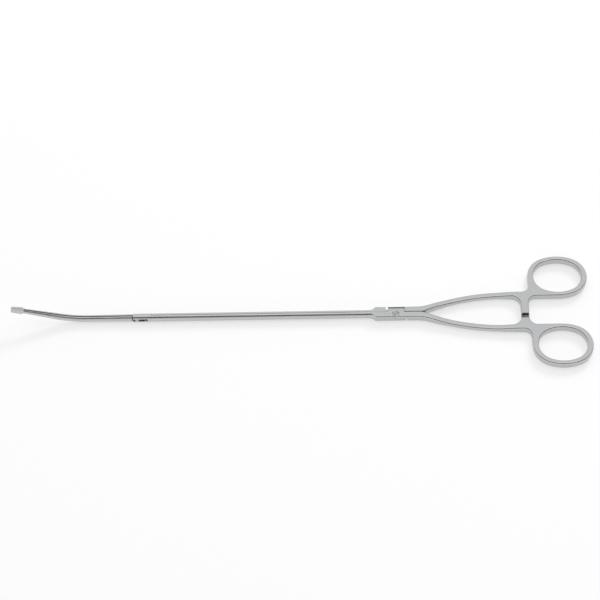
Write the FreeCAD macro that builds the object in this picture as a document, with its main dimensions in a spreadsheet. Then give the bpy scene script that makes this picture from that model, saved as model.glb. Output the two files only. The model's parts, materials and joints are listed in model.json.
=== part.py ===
import FreeCAD, Part
import math
import os

# Thoracoscopic forceps: a 5 mm split sliding shaft with a double-action jaw at one end and
# two ring handles with a ratchet at the other. All lengths in millimetres, angles in degrees.
# Origin: middle of the instrument's footprint, on the table. X runs from the jaw tips (-)
# to the finger rings (+), Y away from the near ring, Z up. The shaft's axis is at Y = 0.

Vector = FreeCAD.Vector
Rotation = FreeCAD.Rotation
Placement = FreeCAD.Placement

SIZES = {
    # shaft
    "shaft_radius": 2.5,
    "rod_gap": 0.08,
    "rod_deburr": 0.12,
    "pivot_spacing": 161.3,
    # box joint of the handles
    "box_half_width": 4.0,
    "edge_round": 1.1,
    "flare_start": 17.0,
    "flare_length": 5.6,
    "flare_extra": 0.45,
    "layer_gap": 0.06,
    "lap_start": 8.15,
    "lap_gap": 0.25,
    "far_block_end": 6.5,
    "flat_gap": 0.1,
    "pivot_offset": 1.6,
    "disc_radius": 2.4,
    "disc_gap": 0.15,
    "knuckle_radius": 6.8,
    "knuckle_gap": 0.3,
    "cheek_wall": 0.8,
    "cheek_front": 5.1,
    "arm_start": 5.2,
    "web_start": 2.3,
    "neck_gap": 0.15,
    # link between the near handle and the far rod
    "crank": 3.1,
    "crank_lean": 11.0,
    "eye_radius": 1.45,
    "link_pin_radius": 0.7,
    "lever_top": 3.5,
    "cover_gap": 0.1,
    "cover_top": 4.2,
    "run_fit": 0.04,
    "seat_fit": 0.01,
    # pivot screw
    "screw_radius": 1.05,
    "screw_head_radius": 1.7,
    "screw_head_depth": 0.8,
    "screw_dome": 0.12,
    "screw_slot": 0.45,
    "screw_slot_turn": 35.0,
    "screw_edge": 0.15,
    "pin_recess": 0.06,
    "rivet_radius": 0.6,
    "rivet_edge": 0.03,
    "rivet_front_share": 0.2,
    "rivet_rear_share": 0.65,
    "pin_edge": 0.1,
    # handle arms
    "arm_gap": 0.45,
    "arm_width": 3.7,
    "inner_half_gap": 10.1,
    "fork_setback": 17.522,
    "bow_to_stalk": 11.8,
    "neck_blend": 29.0,
    "bow_relief": 0.8,
    "fork_to_relief": 1.6,
    "relief_to_stalk": 3.8,
    "relief_ease": 16.0,
    # finger rings
    "ring_setback": 101.4,
    "ring_half_length": 18.6,
    "ring_half_width": 14.8,
    "ring_inset": 0.9,
    "ring_end_bar": 3.65,
    "ring_side_bar": 3.1,
    "ring_fillet": 4.5,
    "stalk_ring_fillet": 5.0,
    # ratchet
    "stalk_setback": 79.8,
    "stalk_width": 4.9,
    "stalk_arm_fillet": 6.0,
    "bar_overlap": 2.3,
    "far_step": 3.2,
    "near_step": 5.85,
    "tooth_pitch": 1.0,
    "tooth_depth": 0.7,
    "tooth_gap": 0.1,
    "tooth_land": 0.15,
    # head of the shaft that carries the jaws
    "clevis_front": 2.5,
    "clevis_rear": 9.0,
    "clevis_edge": 0.3,
    "slot_half_height": 1.2,
    "window_end": 6.8,
    "jaw_pin_radius": 0.8,
    "drive_pin_radius": 0.6,
    "drive_pin_setback": 4.35,
    "web_half_thickness": 0.28,
    "web_half_width": 1.0,
    "slide_gap": 0.1,
    # jaws
    "jaw_length": 77.1,
    "jaw_open": 12.0,
    "jaw_boss_radius": 2.2,
    "jaw_root_radius": 2.25,
    "jaw_bend_radius": 2.05,
    "jaw_end_radius": 1.5,
    "jaw_nose_radius": 0.8,
    "jaw_nose_length": 2.2,
    "jaw_shoulder": 2.65,
    "jaw_neck_side": 1.5,
    "jaw_half_gap": 0.33,
    "jaw_bend": 40.1,
    "jaw_bend_angle": 18.5,
    "jaw_bend_reach": 10.0,
    "head_length": 6.5,
    "head_angle": 13.0,
    "head_rear": 1.3,
    "head_rear_half": 2.3,
    "head_tip_half": 1.7,
    "head_corner": 1.0,
    "head_thickness": 1.3,
    "head_half_gap": 0.05,
    "head_edge": 0.35,
    "serration_pitch": 0.7,
    "serration_depth": 0.15,
    "tail_wall": 0.42,
    "tail_clearance": 0.06,
    # guide studs inside the shaft
    "stud_radius": 0.6,
    "stud_head_radius": 1.0,
    "stud_head_start": 0.85,
    "stud_head_length": 0.6,
    "stud_depth": 1.55,
    "stud_entry": 2.5,
    "stud_front_setback": 128.0,
    "stud_middle_setback": 76.0,
    "stud_rear_setback": 24.0,
    # how far cutters and buried ends run past the faces that they meet
    "overrun": 1.0,
}

doc = FreeCAD.newDocument("forceps")
sheet = doc.addObject("Spreadsheet::Sheet", "Sizes")
for row, (alias, number) in enumerate(SIZES.items(), start=1):
    sheet.set(f"A{row}", alias)
    sheet.set(f"B{row}", str(number))
    sheet.setAlias(f"B{row}", alias)
doc.recompute()


def size(alias):
    """Number in the sheet's cell of that alias."""
    return float(getattr(sheet, alias))


# Places that follow from the driving sizes, as expressions of the sheet's cells.
PIVOT_X = (
    "(Sizes.pivot_spacing + Sizes.jaw_length - Sizes.ring_setback"
    " - Sizes.ring_half_length) / 2"
)
JAW_X = f"{PIVOT_X} - Sizes.pivot_spacing"
AXIS_Z = "Sizes.shaft_radius"
THICKNESS = "2 * Sizes.shaft_radius"
LOWER_TOP = "Sizes.shaft_radius - Sizes.layer_gap / 2"
UPPER_BOTTOM = "Sizes.shaft_radius + Sizes.layer_gap / 2"
TRAVEL = "2 * Sizes.crank * sin(Sizes.crank_lean)"
LINK_X = "-Sizes.crank * sin(Sizes.crank_lean)"
LINK_Y = "Sizes.crank * cos(Sizes.crank_lean) - Sizes.pivot_offset"
CLEVIS_X = "-Sizes.pivot_spacing"
HEAD_BEND = "(Sizes.jaw_length - Sizes.head_length)"
HEAD_Z = f"({HEAD_BEND} - Sizes.jaw_bend) * tan(Sizes.jaw_bend_angle)"
RIVETS = {
    "front": "-Sizes.lap_start + Sizes.rivet_front_share * (Sizes.lap_start - Sizes.disc_radius)",
    "rear": "-Sizes.lap_start + Sizes.rivet_rear_share * (Sizes.lap_start - Sizes.disc_radius)",
}
RIVET_Y = "-(Sizes.box_half_width + Sizes.flat_gap) / 2"
STUDS = ("front", "middle", "rear")

lean = math.radians(size("crank_lean"))
axis_z = size("shaft_radius")
travel = 2 * size("crank") * math.sin(lean)
link = Vector(-size("crank") * math.sin(lean), size("crank") * math.cos(lean) - size("pivot_offset"), 0)
pivot = Vector(0, -size("pivot_offset"), 0)


def bind(item, **expressions):
    """Ties an object's properties to expressions of the sheet."""
    for prop, expression in expressions.items():
        item.setExpression(prop, str(expression))


def move(item, x="0", y="0", z="0"):
    """Ties an object's place to expressions of the sheet."""
    item.setExpression("Placement.Base.x", str(x))
    item.setExpression("Placement.Base.y", str(y))
    item.setExpression("Placement.Base.z", str(z))
    return item


def box(name, length, width, height, x, y, z):
    """Rectangular block from its lowest corner."""
    item = doc.addObject("Part::Box", name)
    bind(item, Length=length, Width=width, Height=height)
    return move(item, x, y, z)


def cylinder(name, radius, height, x="0", y="0", z="0", direction=Vector(0, 0, 1)):
    """Round bar that starts at a point and runs along a direction."""
    item = doc.addObject("Part::Cylinder", name)
    bind(item, Radius=radius, Height=height)
    item.Placement = Placement(Vector(), Rotation(Vector(0, 0, 1), direction))
    return move(item, x, y, z)


def through_hole(name, radius, x="0", y="0"):
    """Upright round hole through the whole thickness."""
    return cylinder(name, radius, f"{THICKNESS} + 2 * Sizes.overrun", x, y, "-Sizes.overrun")


def cut(name, base, *tools):
    """Base with every tool taken out of it."""
    tool = tools[0] if len(tools) == 1 else fuse(f"{name}_tools", *tools)
    item = doc.addObject("Part::Cut", name)
    item.Base = base
    item.Tool = tool
    return item


def fuse(name, *pieces):
    """Pieces joined into one."""
    item = doc.addObject("Part::MultiFuse", name)
    item.Shapes = list(pieces)
    return item


def common(name, first, second):
    """What two pieces share."""
    item = doc.addObject("Part::Common", name)
    item.Base = first
    item.Tool = second
    return item


def mirrored(name, source):
    """Copy of a piece across the shaft's upright middle plane."""
    item = doc.addObject("Part::Mirroring", name)
    item.Source = source
    item.Base = Vector(0, 0, 0)
    item.Normal = Vector(0, 1, 0)
    return item


def placed(name, item, x="0", y="0", z="0"):
    """Finished sub-part under its own name, where it sits in the instrument."""
    item.Label = name
    return move(item, x, y, z)


def sketch_in(body, name, role, geometry):
    """Closed outline drawn on one of the body's own origin planes."""
    sketch = body.newObject("Sketcher::SketchObject", name)
    plane = next(f for f in body.Origin.OriginFeatures if f.Role == role)
    sketch.AttachmentSupport = [(plane, "")]
    sketch.MapMode = "FlatFace"
    sketch.addGeometry(geometry, False)
    return sketch


def padded(name, role, geometry, length, reverse=False):
    """Body that is one outline drawn out to a length."""
    body = doc.addObject("PartDesign::Body", name)
    sketch = sketch_in(body, f"{name}_outline", role, geometry)
    pad = body.newObject("PartDesign::Pad", f"{name}_pad")
    pad.Profile = sketch
    pad.Reversed = reverse
    bind(pad, Length=length)
    return body


def turned(name, profile):
    """Body turned about its own Z axis from a profile drawn in the XZ plane."""
    body = doc.addObject("PartDesign::Body", name)
    sketch = sketch_in(body, f"{name}_profile", "XZ_Plane", lines(profile))
    revolve = body.newObject("PartDesign::Revolution", f"{name}_turned")
    revolve.Profile = sketch
    revolve.ReferenceAxis = (sketch, ["V_Axis"])
    revolve.Angle = 360
    return body


def lines(points):
    """Straight edges round a closed ring of points."""
    ring = [Vector(x, y, 0) for x, y in points]
    return [Part.LineSegment(a, b) for a, b in zip(ring, ring[1:] + ring[:1])]


def line(a, b):
    """Straight edge between two plan points."""
    return Part.LineSegment(Vector(a[0], a[1], 0), Vector(b[0], b[1], 0))


def arc(centre, radius, start, end):
    """Arc of a circle, anticlockwise from one angle to another, in degrees."""
    circle = Part.Circle(Vector(centre[0], centre[1], 0), Vector(0, 0, 1), radius)
    return Part.ArcOfCircle(circle, math.radians(start), math.radians(end))


def angle_of(centre, point):
    """Direction of a point seen from a centre, in degrees."""
    return math.degrees(math.atan2(point[1] - centre[1], point[0] - centre[0]))


def link_outline(first, first_radius, second, second_radius):
    """Outline of a belt laid round two circles: a capsule when they are equal."""
    run = Vector(second[0] - first[0], second[1] - first[1], 0)
    heading = math.degrees(math.atan2(run.y, run.x))
    spread = math.degrees(math.acos((first_radius - second_radius) / run.Length))
    back = arc(first, first_radius, heading + spread, heading - spread + 360)
    front = arc(second, second_radius, heading - spread, heading + spread)
    return [
        back,
        Part.LineSegment(back.EndPoint, front.StartPoint),
        front,
        Part.LineSegment(front.EndPoint, back.StartPoint),
    ]


def link_plate(name, first, first_radius, second, second_radius, height, z="0"):
    """Flat plate round two circles, standing on a height."""
    outline = link_outline(first, first_radius, second, second_radius)
    return move(padded(name, "XY_Plane", outline, height), "0", "0", z)


def half_round(side, start, length, name):
    """Half of the round shaft on one side of the middle plane, its flat's edges deburred."""
    radius = size("shaft_radius")
    flat = size("rod_gap") / 2
    burr = size("rod_deburr")
    shoulder = math.sqrt(radius**2 - (flat + burr) ** 2)
    low, high = (-1, 1) if side > 0 else (1, -1)
    tip = math.degrees(math.atan2(shoulder, flat + burr))
    span = (-tip, tip) if side > 0 else (180 - tip, 180 + tip)
    outline = [
        line((side * flat, high * (radius - burr)), (side * flat, low * (radius - burr))),
        line((side * flat, low * (radius - burr)), (side * (flat + burr), low * shoulder)),
        arc((0, 0), radius, *span),
        line((side * (flat + burr), high * shoulder), (side * flat, high * (radius - burr))),
    ]
    return move(padded(name, "YZ_Plane", outline, length), start, "0", AXIS_Z)


def box_blank(name):
    """Bar of the box joint with rounded edges, turned down to the shaft at its front."""
    half = size("box_half_width")
    top = 2 * axis_z
    edge = size("edge_round")
    section = [
        line((edge - half, 0), (half - edge, 0)),
        arc((half - edge, edge), edge, 270, 360),
        line((half, edge), (half, top - edge)),
        arc((half - edge, top - edge), edge, 0, 90),
        line((half - edge, top), (edge - half, top)),
        arc((edge - half, top - edge), edge, 90, 180),
        line((-half, top - edge), (-half, edge)),
        arc((edge - half, edge), edge, 180, 270),
    ]
    bar = padded(f"{name}_bar", "YZ_Plane", section, "Sizes.flare_start + Sizes.arm_start + Sizes.overrun")
    move(bar, "-Sizes.flare_start", "0", "0")
    # Ogee of two equal arcs from the shaft's radius out to past the bar's corners.
    small = size("shaft_radius")
    rise = math.hypot(half - edge, axis_z - edge) + edge + size("flare_extra") - small
    run = size("flare_length") + rise - (half - small)
    radius = (run**2 + rise**2) / (4 * rise)
    turn = math.degrees(math.asin(run / 2 / radius))
    far = size("flare_start") + size("arm_start") + 2 * size("overrun")
    flare = [
        line((0, 0), (0, small)),
        arc((0, small + radius), radius, 270, 270 + turn),
        arc((run, small + rise - radius), radius, 90, 90 + turn),
        line((run, small + rise), (far, small + rise)),
        line((far, small + rise), (far, 0)),
        line((far, 0), (0, 0)),
    ]
    body = doc.addObject("PartDesign::Body", f"{name}_flare")
    sketch = sketch_in(body, f"{name}_flare_profile", "XY_Plane", flare)
    revolve = body.newObject("PartDesign::Revolution", f"{name}_flare_turned")
    revolve.Profile = sketch
    revolve.ReferenceAxis = (sketch, ["H_Axis"])
    revolve.Angle = 360
    move(body, "-Sizes.flare_start", "0", AXIS_Z)
    return common(name, bar, body)


def in_box(name, *pieces):
    """Pieces of the box joint, kept inside its rounded bar."""
    whole = pieces[0] if len(pieces) == 1 else fuse(f"{name}_plates", *pieces)
    return common(name, box_blank(f"{name}_blank"), whole)


def oval(centre, half_length, half_width):
    """Four arcs of an oval: right end, near side, left end, far side, with their centres.

    The end arcs are a little tighter than the half width, and the side arcs run on from them.
    """
    end = half_width - size("ring_inset")
    reach = half_length - end
    side = (reach**2 + half_width**2 - end**2) / (2 * size("ring_inset"))
    right = (centre[0] + reach, centre[1])
    left = (centre[0] - reach, centre[1])
    far = (centre[0], centre[1] + half_width - side)
    near = (centre[0], centre[1] - half_width + side)
    swing = angle_of(far, right)
    return [
        (right, end, -swing, swing),
        (near, side, 180 + swing, 360 - swing),
        (left, end, 180 - swing, 180 + swing),
        (far, side, swing, 180 - swing),
    ]


def handle_outline():
    """Plan of the far handle: arm, ratchet stalk and ring in one closed run of arcs."""
    slit = size("arm_gap") / 2
    half = size("box_half_width")
    start = size("arm_start")
    inner = size("inner_half_gap")
    width = size("arm_width")
    outer = inner + width
    # The bow's inside leaves the slit at the fork and runs level into the straight arm.
    bow = size("stalk_setback") - size("bow_to_stalk")
    fork = (size("fork_setback"), slit)
    rise = inner - slit
    inner_radius = ((bow - fork[0]) ** 2 + rise**2) / (2 * rise)
    outer_radius = inner_radius + width
    bow_y = inner - inner_radius
    blend = size("neck_blend")
    blend_y = half + blend
    blend_x = bow - math.sqrt((outer_radius + blend) ** 2 - (blend_y - bow_y) ** 2)
    meet = angle_of((bow, bow_y), (blend_x, blend_y))
    # Ring, with its near side straight along the arm's inside up to the stalk.
    ring_x = size("ring_setback")
    ring_y = inner + size("ring_half_width")
    right_end, near_side, left_end, far_side = oval(
        (ring_x, ring_y), size("ring_half_length"), size("ring_half_width")
    )
    left = ring_x - size("ring_half_length")
    web = size("ring_fillet")
    stalk_left = size("stalk_setback") - size("stalk_width") / 2
    stalk_right = stalk_left + size("stalk_width")
    near_web = size("stalk_ring_fillet")
    arm_web = size("stalk_arm_fillet")
    tip = -size("bar_overlap")
    return [
        line((start, slit), (start, half)),
        line((start, half), (blend_x, half)),
        arc((blend_x, blend_y), blend, 270, meet + 180),
        arc((bow, bow_y), outer_radius, 90, meet),
        line((bow, outer), (left - web, outer)),
        arc((left - web, outer + web), web, 270, 360),
        line((left, outer + web), (left, ring_y)),
        arc(*left_end[:3], 180),
        arc(*far_side),
        arc(*right_end),
        arc(*near_side[:2], 270, near_side[3]),
        line((ring_x, inner), (stalk_right + near_web, inner)),
        arc((stalk_right + near_web, inner - near_web), near_web, 90, 180),
        line((stalk_right, inner - near_web), (stalk_right, tip)),
        line((stalk_right, tip), (stalk_left, tip)),
        line((stalk_left, tip), (stalk_left, inner - arm_web)),
        arc((stalk_left - arm_web, inner - arm_web), arm_web, 0, 90),
        line((stalk_left - arm_web, inner), (bow, inner)),
        arc((bow, bow_y), inner_radius, 90, angle_of((bow, bow_y), fork)),
        line(fork, (start, slit)),
    ]


def ring_hole():
    """Finger hole, an oval that leaves the ring's ends thicker than its sides."""
    centre = (size("ring_setback"), size("inner_half_gap") + size("ring_half_width"))
    long_half = size("ring_half_length") - size("ring_end_bar")
    wide_half = size("ring_half_width") - size("ring_side_bar")
    return [arc(*piece) for piece in oval(centre, long_half, wide_half)]


def handle_side():
    """Side view of a handle: full height at its ends, thinned by smooth eases between."""
    top = 2 * axis_z
    relief = size("bow_relief")
    first = size("fork_setback") + size("fork_to_relief")
    last = size("stalk_setback") - size("relief_to_stalk")
    ease = size("relief_ease")
    radius = (ease**2 + relief**2) / (4 * relief)
    turn = math.degrees(math.asin(ease / 2 / radius))
    front = size("arm_start")
    rear = size("ring_setback") + size("ring_half_length") + size("overrun")
    upper = [
        line((front, top), (first, top)),
        arc((first, top - radius), radius, 90 - turn, 90),
        arc((first + ease, top - relief + radius), radius, 270 - turn, 270),
        line((first + ease, top - relief), (last - ease, top - relief)),
        arc((last - ease, top - relief + radius), radius, 270, 270 + turn),
        arc((last, top - radius), radius, 90, 90 + turn),
        line((last, top), (rear, top)),
    ]
    lower = [
        line((front, 0), (first, 0)),
        arc((first, radius), radius, 270, 270 + turn),
        arc((first + ease, relief - radius), radius, 90, 90 + turn),
        line((first + ease, relief), (last - ease, relief)),
        arc((last - ease, relief - radius), radius, 90 - turn, 90),
        arc((last, radius), radius, 270 - turn, 270),
        line((last, 0), (rear, 0)),
    ]
    return upper + [line((rear, top), (rear, 0)), line((front, top), (front, 0))] + lower


def rim_edges(shape):
    """Edges where a handle's upright walls meet its top and bottom, bar the square ends."""
    slit = size("arm_gap") / 2
    start = size("arm_start")
    tip = -size("bar_overlap")
    names = []
    for number, edge in enumerate(shape.Edges, start=1):
        faces = shape.ancestorsOfType(edge, Part.Face)
        middle = edge.valueAt((edge.FirstParameter + edge.LastParameter) / 2)
        upright = []
        for face in faces:
            u, v = face.Surface.parameter(middle)
            upright.append(abs(face.normalAt(u, v).z))
        square = (
            abs(middle.x - start) < 1e-3 or abs(middle.y - slit) < 1e-3 or abs(middle.y - tip) < 1e-3
        )
        if len(faces) == 2 and min(upright) < 0.1 and max(upright) > 0.9 and not square:
            names.append(f"Edge{number}")
    return names


def handle_blank():
    """Far handle before its box joint and ratchet are cut: forged bar with rounded rims."""
    body = doc.addObject("PartDesign::Body", "handle_blank")
    side_sketch = sketch_in(body, "handle_side", "XZ_Plane", handle_side())
    pad = body.newObject("PartDesign::Pad", "handle_slab")
    pad.Profile = side_sketch
    pad.SideType = "Symmetric"
    pad.Length = 4 * (size("inner_half_gap") + 2 * size("ring_half_width"))
    doc.recompute()
    reach = size("ring_setback") + size("ring_half_length") + 2 * size("overrun")
    spread = 2 * (size("inner_half_gap") + 2 * size("ring_half_width")) + size("overrun")
    frame = lines([(0, -spread), (reach, -spread), (reach, spread), (0, spread)])
    plan = sketch_in(body, "handle_plan", "XY_Plane", frame + handle_outline() + ring_hole())
    pocket = body.newObject("PartDesign::Pocket", "handle_profile")
    pocket.Profile = plan
    pocket.Type = "ThroughAll"
    pocket.SideType = "Two sides"
    pocket.Type2 = "ThroughAll"
    doc.recompute()
    fillet = body.newObject("PartDesign::Fillet", "handle_rims")
    fillet.Base = (pocket, rim_edges(pocket.Shape))
    bind(fillet, Radius="Sizes.edge_round")
    return body


def tooth_bar(name, sign, step):
    """Cutter that leaves one handle's ratchet bar: the other layer, bounded by saw teeth.

    sign is +1 for the far handle, whose teeth point down, and -1 for the near handle.
    """
    pitch = size("tooth_pitch")
    depth = size("tooth_depth")
    crest = axis_z + sign * size("tooth_gap") / 2
    root = crest + sign * depth
    tip = -size("bar_overlap")
    count = int((step - tip) / pitch)
    outer = axis_z - sign * (axis_z + size("overrun"))
    land = size("tooth_land")
    profile = [(tip - size("overrun"), outer), (tip - size("overrun"), crest), (tip, crest)]
    for number in range(count):
        foot = tip + number * pitch
        profile += [(foot + land, crest), (foot + pitch - land, root)]
        profile += [(foot + pitch, root), (foot + pitch, crest)]
    profile += [(step, crest), (step, outer)]
    if sign < 0:
        profile = [(-y, z) for y, z in profile]
    body = padded(name, "YZ_Plane", lines(profile), "2 * Sizes.stalk_width")
    return move(body, "Sizes.stalk_setback - Sizes.stalk_width", "0", "0")


def make_far_handle(blank):
    """Handle that stays with the shaft: arm, ring, and the box joint's cheek, cover and plate."""
    plate = box(
        "far_plate",
        "Sizes.lap_start",
        "Sizes.box_half_width - Sizes.flat_gap",
        LOWER_TOP,
        "-Sizes.lap_start",
        "-Sizes.box_half_width",
        "0",
    )
    knuckle_disc = cylinder("far_knuckle", "Sizes.knuckle_radius", LOWER_TOP, "0", "-Sizes.pivot_offset")
    knuckle_area = box(
        "far_knuckle_area",
        "Sizes.knuckle_radius",
        "2 * Sizes.box_half_width",
        LOWER_TOP,
        "-Sizes.overrun",
        "-Sizes.box_half_width",
        "0",
    )
    far_side = box(
        "far_knuckle_void",
        "Sizes.web_start + Sizes.overrun",
        "2 * Sizes.box_half_width",
        THICKNESS,
        "-Sizes.overrun",
        "-Sizes.flat_gap",
        "-Sizes.overrun",
    )
    knuckle = cut("far_knuckle_plate", common("far_knuckle_cut", knuckle_disc, knuckle_area), far_side)
    beam = box(
        "far_web",
        "Sizes.arm_start + Sizes.overrun - Sizes.web_start",
        "Sizes.box_half_width - Sizes.arm_gap / 2",
        LOWER_TOP,
        "Sizes.web_start",
        "Sizes.arm_gap / 2",
        "0",
    )
    cheek = box(
        "far_cheek",
        "Sizes.cheek_front + Sizes.arm_start + Sizes.overrun",
        "Sizes.cheek_wall",
        THICKNESS,
        "-Sizes.cheek_front",
        "Sizes.box_half_width - Sizes.cheek_wall",
        "0",
    )
    lid = box(
        "far_lid",
        "Sizes.cheek_front + Sizes.arm_start + Sizes.overrun",
        "Sizes.box_half_width - Sizes.arm_gap / 2",
        "Sizes.cover_top - Sizes.lever_top - Sizes.cover_gap",
        "-Sizes.cheek_front",
        "Sizes.arm_gap / 2",
        "Sizes.lever_top + Sizes.cover_gap",
    )
    disc_void = through_hole("far_disc_void", "Sizes.disc_radius + Sizes.disc_gap", y="-Sizes.pivot_offset")
    cover = cut("far_cover", lid, disc_void)
    front = in_box("far_front", plate, knuckle, beam, cheek, cover)
    joined = fuse("far_joined", front, blank)
    bar = tooth_bar("far_teeth", 1, size("far_step"))
    hole = through_hole("far_screw_hole", "Sizes.screw_radius + Sizes.seat_fit", y="-Sizes.pivot_offset")
    holes = [rivet_hole("far", place) for place in RIVETS]
    body = cut("far_handle", joined, bar, hole, *holes)
    return placed("far_handle", body, PIVOT_X)


def rivet_hole(owner, place):
    """Hole for one rivet of the lap between the near rod and the far handle."""
    return through_hole(
        f"{owner}_rivet_hole_{place}", "Sizes.rivet_radius + Sizes.seat_fit", RIVETS[place], RIVET_Y
    )


def make_near_handle(blank):
    """Handle that turns: arm and ring, with an upper plate over the screw and a crank lever."""
    arm = mirrored("near_blank", blank)
    knuckle = cylinder(
        "near_knuckle",
        "Sizes.knuckle_radius + Sizes.knuckle_gap",
        f"{UPPER_BOTTOM} + Sizes.overrun",
        "0",
        "-Sizes.pivot_offset",
        "-Sizes.overrun",
    )
    cleared = cut("near_cleared", arm, knuckle)
    disc = cylinder("near_disc", "Sizes.disc_radius", LOWER_TOP, "0", "-Sizes.pivot_offset", UPPER_BOTTOM)
    plate = box(
        "near_plate",
        "Sizes.arm_start + Sizes.overrun",
        "Sizes.box_half_width - Sizes.arm_gap / 2",
        LOWER_TOP,
        "0",
        "-Sizes.box_half_width",
        UPPER_BOTTOM,
    )
    lever = link_plate(
        "near_lever",
        pivot,
        size("disc_radius"),
        link,
        size("eye_radius"),
        f"Sizes.lever_top - ({UPPER_BOTTOM})",
        UPPER_BOTTOM,
    )
    front = in_box("near_front", disc, plate)
    joined = fuse("near_joined", cleared, front, lever)
    bar = tooth_bar("near_teeth", -1, size("near_step"))
    hole = through_hole("near_screw_hole", "Sizes.screw_radius + Sizes.run_fit", y="-Sizes.pivot_offset")
    head = cylinder(
        "near_screw_seat",
        "Sizes.screw_head_radius + Sizes.run_fit",
        "Sizes.screw_head_depth + Sizes.overrun",
        "0",
        "-Sizes.pivot_offset",
        f"{THICKNESS} - Sizes.screw_head_depth",
    )
    eye = through_hole("near_eye", "Sizes.link_pin_radius + Sizes.seat_fit", LINK_X, LINK_Y)
    return placed("near_handle", cut("near_handle", joined, bar, hole, head, eye), PIVOT_X)


def make_near_rod():
    """Fixed half of the shaft: the full-round head for the jaws, the half rod and its lap."""
    start = f"{CLEVIS_X} + Sizes.clevis_rear"
    length = "Sizes.pivot_spacing - Sizes.clevis_rear - Sizes.flare_start + Sizes.overrun"
    rod = half_round(-1, start, length, "near_shaft")
    block_box = box(
        "near_block",
        "Sizes.flare_start - Sizes.lap_start - Sizes.lap_gap",
        "Sizes.box_half_width",
        THICKNESS,
        "-Sizes.flare_start",
        "-Sizes.box_half_width - Sizes.rod_gap / 2",
        "0",
    )
    tongue_box = box(
        "near_tongue",
        "Sizes.flare_start - Sizes.disc_radius / 3",
        "Sizes.box_half_width - Sizes.flat_gap",
        THICKNESS,
        "-Sizes.flare_start",
        "-Sizes.box_half_width",
        LOWER_TOP,
    )
    clearance = through_hole(
        "near_disc_clearance", "Sizes.disc_radius + Sizes.disc_gap", y="-Sizes.pivot_offset"
    )
    lever_gap = link_plate(
        "near_lever_clearance",
        pivot,
        size("disc_radius") + size("disc_gap"),
        link,
        size("eye_radius") + size("disc_gap"),
        THICKNESS,
    )
    tongue = cut("near_tongue_end", tongue_box, clearance, lever_gap)
    block = in_box("near_block_end", block_box, tongue)
    radius = size("shaft_radius")
    edge = size("clevis_edge")
    front = -size("clevis_front")
    rear = size("clevis_rear")
    profile = [(0, front), (radius - edge, front), (radius, front + edge), (radius, rear), (0, rear)]
    head = turned("clevis", profile)
    head.Placement = Placement(Vector(), Rotation(Vector(0, 1, 0), 90))
    move(head, CLEVIS_X, "0", AXIS_Z)
    fork = box(
        "clevis_slot",
        "Sizes.clevis_front + Sizes.window_end + Sizes.overrun",
        f"{THICKNESS} + 2 * Sizes.overrun",
        "2 * Sizes.slot_half_height",
        f"{CLEVIS_X} - Sizes.clevis_front - Sizes.overrun",
        "-Sizes.shaft_radius - Sizes.overrun",
        "Sizes.shaft_radius - Sizes.slot_half_height",
    )
    web_slot = box(
        "clevis_web_slot",
        f"Sizes.clevis_rear - Sizes.window_end + {TRAVEL} + 2 * Sizes.slide_gap + Sizes.overrun",
        "2 * (Sizes.web_half_width + Sizes.slide_gap)",
        "2 * (Sizes.web_half_thickness + Sizes.tail_clearance)",
        f"{CLEVIS_X} + Sizes.window_end - Sizes.overrun",
        "-Sizes.web_half_width - Sizes.slide_gap",
        "Sizes.shaft_radius - Sizes.web_half_thickness - Sizes.tail_clearance",
    )
    pin_hole = through_hole("clevis_pin_hole", "Sizes.jaw_pin_radius + Sizes.seat_fit", CLEVIS_X)
    studs = [
        cylinder(
            f"near_stud_hole_{place}",
            "Sizes.stud_radius + Sizes.seat_fit",
            "Sizes.stud_depth + Sizes.run_fit",
            f"-Sizes.stud_{place}_setback",
            "0",
            AXIS_Z,
            Vector(0, -1, 0),
        )
        for place in STUDS
    ]
    holes = [rivet_hole("near", place) for place in RIVETS]
    joined = fuse("near_rod_joined", rod, block, head)
    body = cut("near_rod", joined, fork, web_slot, pin_hole, *studs, *holes)
    return placed("near_rod", body, PIVOT_X)


def stud_slot(place):
    """Keyhole T-slot in the far rod's flat, as long as the rod's travel."""
    at = -size(f"stud_{place}_setback")
    fit = size("run_fit")
    back = (at - travel - 2 * fit, 0)
    entry = (at + size("stud_entry"), 0)
    narrow = size("stud_radius") + fit
    wide = size("stud_head_radius") + fit
    depth = "Sizes.stud_head_start + Sizes.stud_head_length + 2 * Sizes.run_fit"
    neck = padded(
        f"far_stud_neck_{place}", "XZ_Plane", link_outline(back, narrow, entry, narrow), depth, reverse=True
    )
    head = padded(
        f"far_stud_head_{place}",
        "XZ_Plane",
        link_outline(back, wide, entry, wide),
        "Sizes.stud_head_length + 3 * Sizes.run_fit",
        reverse=True,
    )
    move(neck, "0", "0", AXIS_Z)
    move(head, "0", "Sizes.stud_head_start - Sizes.run_fit", AXIS_Z)
    mouth = cylinder(
        f"far_stud_mouth_{place}",
        "Sizes.stud_head_radius + Sizes.run_fit",
        depth,
        f"-Sizes.stud_{place}_setback + Sizes.stud_entry",
        "0",
        AXIS_Z,
        Vector(0, 1, 0),
    )
    return fuse(f"far_stud_slot_{place}", neck, head, mouth)


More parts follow.
